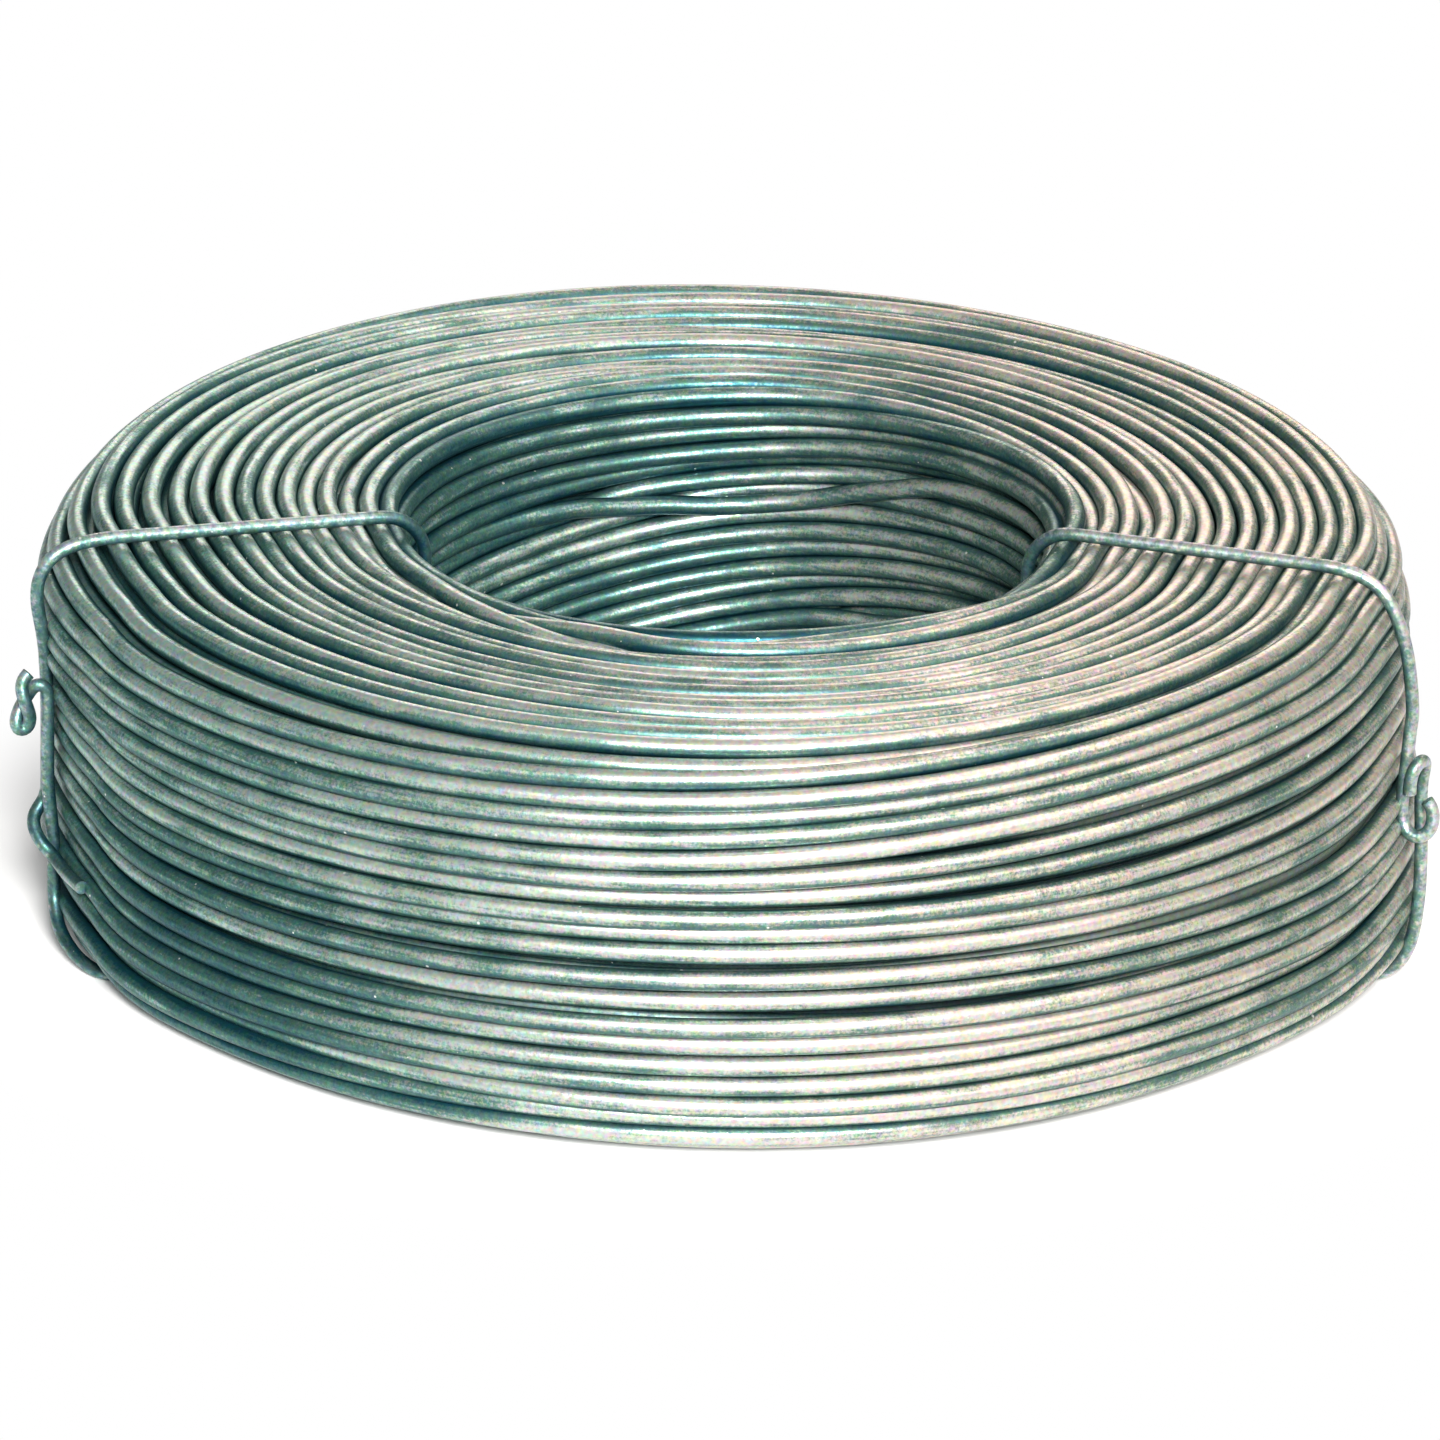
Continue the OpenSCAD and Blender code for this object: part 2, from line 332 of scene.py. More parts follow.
def wind_outer_layer():
    """Lays the turns that show: one wire that moves on by a turn's width each time round the section.

    Gives each point's azimuth, distance along the section's outline and height over its mean line."""
    c = coil()
    rng = np.random.default_rng(c.seed)
    d = c.wire_diameter
    n, m = c.turns, STATIONS
    i = np.arange(n * m)
    az = (i % m) * 2 * math.pi / m - math.pi / 2
    length = round_the_section()
    # The turns in the bore are crowded, every other one sunk between its neighbours
    grid = np.linspace(0, length, 2000)
    crowded = window(grid / length, 0.52, 0.56, 0.78, 0.82)
    filled = np.cumsum(1 + c.crowding * crowded)
    even = np.interp(i / m / n * filled[-1], np.concatenate([[0], filled]), np.concatenate([[0], grid]))
    bore = window(even / length, 0.52, 0.56, 0.78, 0.82)
    calm = 1 - 0.8 * near_tie(az, math.radians(8))
    drift = field_noise(rng, n, m, 7, m * 0.22).ravel() * c.drift
    own = smooth_noise(rng, n * m, m * 0.16) * c.stray
    tilt = -c.bore_tilt * np.cos(az) * window(even / length, 0.47, 0.70, 0.76, 0.90)
    goal_s = even + (drift + own) * calm + tilt + bumps(SLIPS, az, even, length)
    for middle, reach, place, half in GAPS:
        across = apart_from(az, math.radians(middle)) / math.radians(reach)
        off = (goal_s - place * MM + length / 2) % length - length / 2
        goal_s += np.sign(off) * half * MM * np.exp(-across ** 2 / 2 - (off / (4 * MM)) ** 2 / 2)
    goal_h = smooth_noise(rng, n * m, m * 0.18) * c.sink * calm
    goal_h -= 0.00042 * bore * (1 + np.cos(math.pi * i / m)) * (0.75 + 0.25 * smooth_noise(rng, n * m, m * 0.3))
    goal_h += (c.slack - 0.00006) * near_tie(az, math.radians(5))
    bend = np.exp(-(np.fft.rfftfreq(n * m) * c.stiffness / 0.00135) ** 2)
    supple = bend ** 0.16
    s, h = goal_s.copy(), goal_h.copy()
    for lap in range(360):
        early = lap < 260
        s += 0.03 * (goal_s - s) * early
        h += 0.06 * (goal_h - h) * early
        filtered = bend if lap % 4 == 0 or lap > 340 else supple
        s = even + np.fft.irfft(np.fft.rfft(s - even) * filtered, n * m)
        h = np.fft.irfft(np.fft.rfft(h) * filtered, n * m)
        for step in (1, 2, 3, 4):
            ds = (np.roll(s, -step * m) - s + length / 2) % length - length / 2
            dh = np.roll(h, -step * m) - h
            dist = np.hypot(ds, dh) + 1e-9
            push = 0.4 * np.clip(d * 1.003 - dist, 0, None)
            ps, ph = push * ds / dist, push * dh / dist
            s += np.roll(ps, step * m) - ps
            h += np.roll(ph, step * m) - ph
        h = np.clip(h, -0.62 * d, c.slack - 0.00002)
    s = even + np.fft.irfft(np.fft.rfft(s - even) * bend, n * m)
    h = np.minimum(np.fft.irfft(np.fft.rfft(h) * bend, n * m), c.slack - 0.00002)
    return az, s, h


def nestle_under(az, s, h):
    """Lays the second layer in the hollows under the first, never touching it."""
    c = coil()
    d = c.wire_diameter
    n, m = c.under_turns, STATIONS
    rng = np.random.default_rng(c.seed + 1)
    length = round_the_section()
    i = np.arange(n * m)
    column = i % m
    az2 = column * 2 * math.pi / m - math.pi / 2
    s2 = (i / m) / n * length + smooth_noise(rng, n * m, m * 0.2) * 0.0003
    top_s, top_h = s.reshape(c.turns, m), h.reshape(c.turns, m)
    h2 = np.full(n * m, -0.80 * d)
    guess = np.floor(s2 / length * c.turns).astype(int)
    for k in range(-5, 7):
        row = (guess + k) % c.turns
        ds = (top_s[row, column] - s2 + length / 2) % length - length / 2
        room = np.sqrt(np.clip(d * d - ds * ds, 0, None))
        h2 = np.minimum(h2, np.where(np.abs(ds) < d, top_h[row, column] - room, h2))
    for _ in range(6):
        h2 = np.minimum(h2, (np.roll(h2, 1) + np.roll(h2, -1)) / 2)
    return az2, s2, h2 - 0.00003


def to_world(az, s, h):
    """Places points given on the section in the row frame, with their outward directions, tilted up for painted
    shade.
    """
    share = s / round_the_section()
    spots = winding_corners(az)
    r, z, nr, nz, _ = outline(share * outline(s * 0, *spots)[4], *spots)
    r = r + h * nr + bumps(SWELLS, az, s, round_the_section())
    z = z + h * nz
    z = np.maximum(z, coil().wire_diameter / 2 + floor_lift(az))
    points = np.stack([r * np.cos(az), r * np.sin(az), z], -1)
    # Tilted upwards, so that the painted shade is darker on each wire's underside as well as between the turns
    outward = np.stack([nr * np.cos(az), nr * np.sin(az), nz + 0.55 * np.abs(nr)], -1)
    return points, outward / np.linalg.norm(outward, axis=1)[:, None]


# The ties

# Each bent end as points: tie wire diameters outwards from the tie's side line and to the front, and a
# depth below the tie's top run in mm
LEFT_UPPER = (
    (-0.2, -1.12, 15.0), (-0.15, -1.12, 12.8), (-0.1, -1.1, 11.2), (0.1, -0.7, 9.4), (0.4, -0.2, 7.6),
    (0.8, 0, 5.2),
    (0.7, 0, 3.2), (-0.15, 0, 1.5), (-1.7, 0, 0.5), (-4, 0, 0.06), (-6.5, 0, 0),
)
LEFT_HOOK = (
    (-0.5, 7.4, 26.9), (-0.15, 4.5, 27.15), (0.1, 2.7, 27.0), (0.35, 1.35, 26.7), (1.0, 0.75, 25.9),
    (1.35, -0.2, 24.8), (1.05, -0.9, 23.9), (0.3, -1.2, 23.1), (-0.1, -1.17, 22.0), (-0.2, -1.15, 20.1),
    (-0.2, -1.12, 17.5),
)
RIGHT_UPPER = (
    (2.6, 0.7, 18.9), (3.05, 0.65, 19.6), (3.1, 0.8, 21.0), (2.55, 1, 21.9), (1.7, 1.1, 22.0),
    (0.9, 0.8, 21.1), (0.75, 0.65, 18.9), (0.85, 0.35, 16.2), (1.0, 0.15, 13.1), (1.05, 0, 11.3),
    (0.5, 0, 6.9), (-0.45, 0, 3.7), (-1.65, 0, 1.6), (-3.3, 0, 0.5), (-5.2, 0, 0.06), (-7, 0, 0),
)
RIGHT_LOWER = (
    (-0.5, 0, 34.93), (0.9, 0, 33.7), (1.8, 0, 31.4), (2.2, 0, 27.43),
    (2.1, -0.35, 23.1), (1.85, -0.75, 19.8), (1.85, -0.75, 17.9), (2.05, -0.5, 16.6),
    (2.15, 0.2, 15.65), (1.9, 1.05, 15.55), (1.6, 1.5, 16.2), (1.45, 1.55, 17.1), (1.45, 1.5, 18.1),
)


def through(points, steps=10):
    """A smooth run through chosen points."""
    v = np.array(points, float)
    run = []
    for k in range(len(v) - 1):
        a, b, c, d = v[max(k - 1, 0)], v[k], v[k + 1], v[min(k + 2, len(v) - 1)]
        for t in np.arange(steps) / steps:
            run.append(0.5 * (2 * b + (c - a) * t + (2 * a - 5 * b + 4 * c - d) * t ** 2
                              + (3 * b - a - 3 * c + d) * t ** 3))
    return np.array(run + [v[-1]])


def tie_line():
    """The corners of the line that a tie's loop follows, bedded in the coil's underside."""
    c, t = coil(), ties()
    off = t.wire_diameter / 2 + t.gap
    return (c.bore_radius - off, COIL_R + off, t.wire_diameter / 2 + t.bed, COIL_H + off - 0.02 * MM,
            t.foot_radius, c.shoulder_radius + off, c.lip_radius + off, c.lip_radius)


def bent_end(points, front):
    """A hand-bent end of a tie, in its own plane: out from the axis, to the front, up."""
    t = ties()
    _, side, _, top = tie_line()[:4]
    v = np.array(points, float)
    return through(np.stack([side + v[:, 0] * t.wire_diameter, front * v[:, 1] * t.wire_diameter,
                             top - v[:, 2] * MM], -1))


def tie_loop(first, last):
    """The part of a tie that lies close round the section."""
    s = np.linspace(first, last, max(int((last - first) / 0.0004), 2))
    r, z, _, _, _ = outline(s, *tie_line())
    return np.stack([r, 0 * r, z], -1)


def top_run_start():
    """Distance along the tie's line to the start of its top run."""
    _, _, z0, z1, foot, shoulder, _, _ = tie_line()
    return (foot + shoulder) * math.pi / 2 + z1 - z0 - foot - shoulder


def tie_length():
    """Length of the tie's line right round the section."""
    return float(outline(np.zeros(1), *tie_line())[4][0])


def folded_twist():
    """The left tie's lower end: turned out from the side, doubled back at its tip and twisted on itself."""
    t = ties()
    _, x, _, top = tie_line()[:4]
    reach = t.wire_diameter / 2 + 0.00003
    root_z = top - t.pair_drop

    def strand(u, side):
        arc = t.fold_radius * math.pi / 2
        a = np.minimum(u / arc, 1) * math.pi / 2
        past = np.maximum(u - arc, 0)
        axis = np.stack([x + t.root_radius + t.fold_radius * np.sin(a) + t.pair_lean * past, 0 * u,
                         root_z - t.fold_radius * (1 - np.cos(a)) - past], -1)
        out = np.stack([np.sin(a), 0 * a, np.cos(a)], -1)
        turned = np.clip((u - t.fold_radius) / (t.pair_length - t.fold_radius), 0, 1)
        b = side + 2 * math.pi * t.pair_turns * turned
        return axis + reach * (np.cos(b)[:, None] * out + np.sin(b)[:, None] * np.array([0, 1, 0]))

    down = strand(np.linspace(0, t.pair_length, 48), math.pi)
    back = strand(np.linspace(t.pair_length, 0.0005, 44), 0)
    middle = (down[-1] + back[0]) / 2
    across = (down[-1] - back[0]) / 2
    turn = np.radians(np.arange(15, 180, 15))[:, None]
    u_turn = middle + across * np.cos(turn) + np.array([t.pair_lean, 0, -1]) * reach * np.sin(turn)
    a = np.radians(np.arange(10, 81, 10))
    bend = np.stack([x + t.root_radius * (1 - np.cos(a)), 0 * a,
                     root_z - reach - t.root_radius * (1 - np.sin(a))], -1)
    return np.concatenate([bend, down, u_turn, back])


def evened(route, step=0.00022):
    """A route with its points spread evenly and its small kinks smoothed out."""
    for _ in range(2):
        gaps = np.linalg.norm(np.diff(route, axis=0), axis=1)
        route = route[np.concatenate([[True], gaps > 1e-7])]
        at = np.concatenate([[0], np.cumsum(np.linalg.norm(np.diff(route, axis=0), axis=1))])
        spots = np.linspace(0, at[-1], int(at[-1] / step))
        route = np.stack([np.interp(spots, at, route[:, k]) for k in range(3)], -1)
        for _ in range(4):
            route[1:-1] += 0.25 * (route[:-2] + route[2:] - 2 * route[1:-1])
    return route


def left_tie_route():
    """The left tie: one wire from its hooked end up behind its own side, round the section to its twist."""
    c, t = coil(), ties()
    _, _, z0, _, foot, _, _, _ = tie_line()
    root_z = tie_line()[3] - t.pair_drop
    last = tie_length() + foot * math.pi / 2 + root_z - t.wire_diameter / 2 - t.root_radius - z0 - foot
    loop = tie_loop(top_run_start() + 0.0012, last)
    route = np.concatenate([bent_end(LEFT_HOOK, 1), bent_end(LEFT_UPPER, 1), loop, folded_twist()])
    low = route[:, 0] > COIL_R - 2 * foot
    lean = np.clip((0.016 - route[:, 2]) / 0.008, 0, 1) * low
    route[:, 0] -= 0.00055 * lean * lean * (3 - 2 * lean)
    gone = np.clip((0.0055 - route[:, 2] + COIL_R - route[:, 0]) / 0.009, 0, 1)
    inward = np.clip((route[:, 0] - c.bore_radius) / 0.024, 0, 1)
    route[:, 1] += t.foot_swing * gone * gone * (3 - 2 * gone) * inward * (route[:, 2] < 0.0055)
    return evened(route)


def right_tie_route():
    """The right tie: one wire between two ends hooked over each other."""
    lower = bent_end(RIGHT_LOWER, -1)
    return evened(np.concatenate([
        bent_end(RIGHT_UPPER, -1), tie_loop(top_run_start() + 0.0012, tie_length()), lower]))


def at_azimuth(route, az):
    """A tie's route turned to its place, with its outward directions."""
    middle = np.array([(coil().bore_radius + COIL_R) / 2, 0, COIL_H / 2])
    outward = route - middle
    outward /= np.linalg.norm(outward, axis=1)[:, None]
    turn = np.array([[math.cos(az), math.sin(az), 0], [-math.sin(az), math.cos(az), 0], [0, 0, 1]])
    return route @ turn, outward @ turn


# Making wires from paths


def wire_tree():
    """Geometry Nodes that sweep a round wire along a path and store each point's painted shade, from how far it
    faces away from outwards.
    """
    tree = bpy.data.node_groups.new("Round wire along a path", "GeometryNodeTree")
    face = tree.interface
    face.new_socket(name="Geometry", in_out="INPUT", socket_type="NodeSocketGeometry")
    face.new_socket(name="Wire radius", in_out="INPUT", socket_type="NodeSocketFloat")
    face.new_socket(name="Sides", in_out="INPUT", socket_type="NodeSocketInt")
    face.new_socket(name="Shade edge", in_out="INPUT", socket_type="NodeSocketFloat")
    face.new_socket(name="Material", in_out="INPUT", socket_type="NodeSocketMaterial")
    face.new_socket(name="Geometry", in_out="OUTPUT", socket_type="NodeSocketGeometry")
    start = add_node(tree, "NodeGroupInput")
    path = add_node(tree, "GeometryNodeMeshToCurve", {"Mesh": start.outputs["Geometry"]})
    length = add_node(tree, "GeometryNodeSplineParameter")
    noted = add_node(tree, "GeometryNodeStoreNamedAttribute",
                     {"Geometry": path.outputs["Curve"], "Name": "along", "Value": length.outputs["Length"]},
                     data_type="FLOAT", domain="POINT")
    ring = add_node(tree, "GeometryNodeCurvePrimitiveCircle",
                    {"Resolution": start.outputs["Sides"], "Radius": start.outputs["Wire radius"]})
    swept = add_node(tree, "GeometryNodeCurveToMesh",
                     {"Curve": noted.outputs["Geometry"], "Profile Curve": ring.outputs["Curve"],
                      "Fill Caps": True})
    outward = add_node(tree, "GeometryNodeInputNamedAttribute", {"Name": "outward"}, data_type="FLOAT_VECTOR")
    normal = add_node(tree, "GeometryNodeInputNormal")
    # Painted shade: full where the skin faces as far from outwards as the shade edge, none where it faces straight
    # out
    facing = add_node(tree, "ShaderNodeVectorMath",
                      {0: normal.outputs["Normal"], 1: outward.outputs["Attribute"]}, operation="DOT_PRODUCT")
    shade_amount = add_node(tree, "ShaderNodeMapRange",
                     {"Value": facing.outputs["Value"], "From Min": 1.0,
                      "From Max": start.outputs["Shade edge"],
                      "To Min": 0.0, "To Max": 1.0})
    shade_stored = add_node(tree, "GeometryNodeStoreNamedAttribute",
                       {"Geometry": swept.outputs["Mesh"], "Name": "painted_shade", "Value": shade_amount.outputs["Result"]},
                       data_type="FLOAT", domain="POINT")
    smooth = add_node(tree, "GeometryNodeSetShadeSmooth", {"Geometry": shade_stored.outputs["Geometry"]})
    coated = add_node(tree, "GeometryNodeSetMaterial",
                      {"Geometry": smooth.outputs["Geometry"], "Material": start.outputs["Material"]})
    real = add_node(tree, "GeometryNodeRealizeInstances", {"Geometry": coated.outputs["Geometry"]})
    add_node(tree, "NodeGroupOutput", {"Geometry": real.outputs["Geometry"]})
    return tree


def wire_piece(name, runs, radius, sides, material, nodes, shade_edge=0.0):
    """One piece of wire, or several, swept along runs of points, riding on the coil.

    The painted shade is full where the skin faces this far from straight outwards, as a cosine."""
    points = np.concatenate([p for p, _ in runs])
    outward = np.concatenate([o for _, o in runs])
    edges, first = [], 0
    for p, _ in runs:
        edges.append(np.stack([np.arange(first, first + len(p) - 1), np.arange(first + 1, first + len(p))], -1))
        first += len(p)
    mesh = bpy.data.meshes.new(name)
    mesh.from_pydata(points.tolist(), np.concatenate(edges).tolist(), [])
    mesh.attributes.new("outward", "FLOAT_VECTOR", "POINT").data.foreach_set("vector", outward.ravel())
    obj = bpy.data.objects.new(name, mesh)
    bpy.context.scene.collection.objects.link(obj)
    tree = bpy.data.node_groups.get("Round wire along a path") or wire_tree()
    sweep = obj.modifiers.new("Sweep", "NODES")
    sweep.node_group = tree
    values = {"Wire radius": radius, "Sides": sides, "Shade edge": shade_edge, "Material": material}
    for item in tree.interface.items_tree:
        if item.in_out == "INPUT" and item.name in values:
            sweep[item.identifier] = values[item.name]
    graph = bpy.context.evaluated_depsgraph_get()
    made = bpy.data.meshes.new_from_object(obj.evaluated_get(graph), preserve_all_data_layers=True,
                                           depsgraph=graph)
    obj.modifiers.clear()
    obj.data = made
    made.name = name
    made.set_sharp_from_angle(angle=math.radians(50))
    bpy.data.meshes.remove(mesh)
    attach(obj, BODY)
    for node in nodes:
        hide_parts(node)
    return obj


# Finishes


def galvanized_wire(name, crown, mid, painted_shade, rough, side_shading=0.58, mottle=1.0):
    """Hot-dip galvanized drawn wire: a semi-bright zinc skin, mottled by its crystals and by handling, wiped
    lengthwise by the die, with painted shade in dark blue-green between the turns and on their undersides,
    more painted shade towards the left, the foot and in the bore, and a painted warm light towards the right."""
    material = bpy.data.materials.new(name)
    material.use_nodes = True
    tree = material.node_tree
    tree.nodes.clear()
    place = add_node(tree, "ShaderNodeTexCoord")
    shade_attribute = add_node(tree, "ShaderNodeAttribute", attribute_name="painted_shade")

    # Directions round the coil's axis, so that the die's wipe marks run along the wire
    flat = add_node(tree, "ShaderNodeVectorMath", {0: place.outputs["Object"], 1: (1, 1, 0)},
                    operation="MULTIPLY")
    reach = add_node(tree, "ShaderNodeVectorMath", {0: flat.outputs["Vector"]}, operation="LENGTH")
    bearing = add_node(tree, "ShaderNodeVectorMath", {0: flat.outputs["Vector"]}, operation="NORMALIZE")
    swung = add_node(tree, "ShaderNodeVectorMath", {0: bearing.outputs["Vector"], 1: (9, 9, 0)},
                     operation="MULTIPLY")
    raised = add_node(tree, "ShaderNodeVectorMath", {0: place.outputs["Object"], 1: (0, 0, 2600)},
                      operation="MULTIPLY")
    wiped = add_node(tree, "ShaderNodeVectorMath", {0: swung.outputs["Vector"], 1: raised.outputs["Vector"]},
                     operation="ADD")
    deep = add_node(tree, "ShaderNodeMath", {0: reach.outputs["Value"], 1: 2600.0}, operation="MULTIPLY")
    wipe = add_node(tree, "ShaderNodeTexNoise",
                    {"Vector": wiped.outputs["Vector"], "W": deep.outputs["Value"], "Scale": 1.0, "Detail": 2.0},
                    noise_dimensions="4D")

    # Zinc crystals and scuffs, really about 0.1 mm, drawn 0.25 mm wide so that they show
    grain = add_node(tree, "ShaderNodeTexNoise",
                     {"Vector": place.outputs["Object"], "Scale": 4000.0, "Detail": 2.0, "Roughness": 0.7})
    # Patches where the film is thicker, 6 mm wide
    cloud = add_node(tree, "ShaderNodeTexNoise",
                     {"Vector": place.outputs["Object"], "Scale": 160.0, "Detail": 4.0, "Roughness": 0.6})
    # Warmer and cooler zinc, in grains of 0.4 mm
    warmth = add_node(tree, "ShaderNodeTexNoise",
                      {"Vector": place.outputs["Object"], "Scale": 2300.0, "Detail": 1.0})

    def swing(noise, amount, base):
        """Adds a noise about its middle, times an amount, to a base."""
        off = add_node(tree, "ShaderNodeMath", {0: noise.outputs["Fac"], 1: 0.5}, operation="SUBTRACT")
        return add_node(tree, "ShaderNodeMath", {0: off.outputs["Value"], 1: amount, 2: base},
                        operation="MULTIPLY_ADD").outputs["Value"]

    # Painted shade: the dark colour is heavier on the coil's left side and towards its foot, and, as painted light,
    # the zinc turns from cool on the left to warm on the right
    spot = add_node(tree, "ShaderNodeSeparateXYZ", {"Vector": place.outputs["Object"]})
    left_shade = add_node(tree, "ShaderNodeMapRange",
                    {"Value": spot.outputs["X"], "From Min": -0.008, "From Max": -0.046, "To Max": 1.0},
                    interpolation_type="SMOOTHSTEP")
    low = add_node(tree, "ShaderNodeMapRange",
                   {"Value": spot.outputs["Z"], "From Min": 0.034, "From Max": 0.002, "To Max": side_shading})
    shade_sum = add_node(tree, "ShaderNodeMath",
                    {0: left_shade.outputs["Result"], 1: low.outputs["Result"], 2: shade_attribute.outputs["Fac"]},
                    operation="MULTIPLY_ADD")
    # Painted shade in the bore, heavier towards the left
    bore_shade_mask = add_node(tree, "ShaderNodeMapRange",
                     {"Value": reach.outputs["Value"], "From Min": 0.031, "From Max": 0.0272, "To Max": 1.0})
    bore_shade_weight = add_node(tree, "ShaderNodeMapRange",
                     {"Value": spot.outputs["X"], "From Min": 0.010, "From Max": -0.024, "To Min": 0.18,
                      "To Max": 0.42})
    shade_sum = add_node(tree, "ShaderNodeMath",
                    {0: bore_shade_mask.outputs["Result"], 1: bore_shade_weight.outputs["Result"], 2: shade_sum.outputs["Value"]},
                    operation="MULTIPLY_ADD")
    # Long stretches of the one wire, about 100 mm, that came out of the bath duller or brighter
    along = add_node(tree, "ShaderNodeAttribute", attribute_name="along")
    stretch = add_node(tree, "ShaderNodeTexNoise", {"W": along.outputs["Fac"], "Scale": 11.0, "Detail": 2.0},
                       noise_dimensions="1D")
    # Painted light: a warm tint towards the right and a cool one towards the left
    red = add_node(tree, "ShaderNodeMapRange",
                   {"Value": spot.outputs["X"], "From Min": -0.045, "From Max": 0.015, "To Min": 0.45 - 0.30 * side_shading,
                    "To Max": 0.46 + 0.30 * side_shading})
    blue = add_node(tree, "ShaderNodeMapRange",
                    {"Value": spot.outputs["X"], "From Min": 0.0, "From Max": 0.045, "To Min": 0.47,
                     "To Max": 0.47 - 0.11 * side_shading})
    painted_warmth = add_node(tree, "ShaderNodeCombineXYZ",
                     {"X": red.outputs["Result"], "Y": 0.55, "Z": blue.outputs["Result"]})
    # The painted shade, broken up by the film's patches, long stretches, grain and wipe marks
    film_and_shade = swing(cloud, 0.8 * mottle, shade_sum.outputs["Value"])
    film_and_shade = swing(stretch, 0.9 * mottle, film_and_shade)
    film_and_shade = swing(grain, 0.8 * mottle, film_and_shade)
    film_and_shade = swing(wipe, 1.0, film_and_shade)
    # Colour runs from the light crown through the mid tone to the dark painted shade
    ramp = add_node(tree, "ShaderNodeValToRGB", {"Fac": film_and_shade})
    ramp.color_ramp.elements[0].position = 0.04
    ramp.color_ramp.elements[0].color = linear(crown)
    ramp.color_ramp.elements[1].position = 0.98
    ramp.color_ramp.elements[1].color = linear(painted_shade)
    ramp.color_ramp.elements.new(0.40).color = linear(mid)
    # Each grain a little warmer or cooler than the next, on top of the painted warm and cool tint
    tints = add_node(tree, "ShaderNodeVectorMath",
                     {0: warmth.outputs["Color"], 1: (1.1, 0.9, 1.1), 2: painted_warmth.outputs["Vector"]},
                     operation="MULTIPLY_ADD")
    warm = add_node(tree, "ShaderNodeMix", {"Factor": 1.0}, data_type="RGBA", blend_type="MULTIPLY")
    tree.links.new(ramp.outputs["Color"], warm.inputs["A"])
    tree.links.new(tints.outputs["Vector"], warm.inputs["B"])
    # The painted shade in the bore is bluer as well
    bore_shade_tint = add_node(tree, "ShaderNodeMix", {"Factor": bore_shade_mask.outputs["Result"]}, data_type="RGBA",
                     blend_type="MULTIPLY")
    tree.links.new(warm.outputs["Result"], bore_shade_tint.inputs["A"])
    bore_shade_tint.inputs["B"].default_value = (0.86, 0.97, 0.99, 1.0)
    # Bright flecks of clean zinc, 0.1 to 0.2 mm across, one for every few square millimetres
    cells = add_node(tree, "ShaderNodeTexVoronoi", {"Vector": place.outputs["Object"], "Scale": 750.0})
    few = add_node(tree, "ShaderNodeSeparateColor", {"Color": cells.outputs["Color"]})
    size = add_node(tree, "ShaderNodeMapRange",
                    {"Value": few.outputs["Red"], "From Min": 0.72, "From Max": 1.0, "To Min": 0.0,
                     "To Max": 0.11})
    fleck = add_node(tree, "ShaderNodeMath",
                     {0: cells.outputs["Distance"], 1: size.outputs["Result"]}, operation="LESS_THAN")
    bright = add_node(tree, "ShaderNodeMix", {"Factor": fleck.outputs["Value"]}, data_type="RGBA")
    tree.links.new(bore_shade_tint.outputs["Result"], bright.inputs["A"])
    bright.inputs["B"].default_value = linear("#d2d8d4")
    dull = add_node(tree, "ShaderNodeMapRange",
                    {"Value": swing(wipe, 0.6, grain.outputs["Fac"]), "From Min": 0.25, "From Max": 0.75,
                     "To Min": rough - 0.08, "To Max": rough + 0.12})
    bump = add_node(tree, "ShaderNodeBump",
                    {"Height": grain.outputs["Fac"], "Strength": 0.4, "Distance": 0.00004})
    skin = add_node(tree, "ShaderNodeBsdfPrincipled",
                    {"Base Color": bright.outputs["Result"], "Metallic": 0.75,
                     "Roughness": dull.outputs["Result"], "Normal": bump.outputs["Normal"]})
    add_node(tree, "ShaderNodeOutputMaterial", {"Surface": skin.outputs["BSDF"]})
    return material


# Operators


WINDING = {}


def winding():
    """The outer layer, worked out once."""
    if not WINDING:
        WINDING["outer"] = wind_outer_layer()
    return WINDING["outer"]


class WIRECOIL_OT_turns(bpy.types.Operator):
    """Winds the turns that show, in four lengths: outside, top, bore and underside"""

    bl_idname = "wirecoil.turns"
    bl_label = "Wind outer turns"

    def execute(self, context):
        c = coil()
        points, outward = to_world(*winding())
        points, outward = np.vstack([points, points[:1]]), np.vstack([outward, outward[:1]])
        # The third colour is the dark painted shade between the turns and on their undersides
        zinc = galvanized_wire("galvanized drawn wire", "#b0b9b0", "#56786f", "#194851", 0.38)
        names = ("turns_outside", "turns_top", "turns_bore", "turns_underside")
        stops = [round(k * c.turns * STATIONS / 4) for k in range(5)]
        for name, first, last in zip(names, stops, stops[1:]):
            run = (points[first:last + 1], outward[first:last + 1])
            wire_piece(name, [run], c.wire_diameter / 2, 12, zinc, ["wire_coil"])
        return {"FINISHED"}


class WIRECOIL_OT_under_turns(bpy.types.Operator):
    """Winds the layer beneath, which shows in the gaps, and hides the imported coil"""

    bl_idname = "wirecoil.under_turns"
    bl_label = "Wind under turns"

    def execute(self, context):
        c = coil()
        points, outward = to_world(*nestle_under(*winding()))
        keep = slice(None, None, 2)
        # Darker colours than the outer turns, as painted shade on the layer beneath
        zinc = galvanized_wire("galvanized wire in shade", "#70857f", "#3a5f5d", "#123a42", 0.5)
        wire_piece("under_turns", [(points[keep], outward[keep])], c.wire_diameter / 2, 8, zinc,
                   ["wire_coil"])
        return {"FINISHED"}


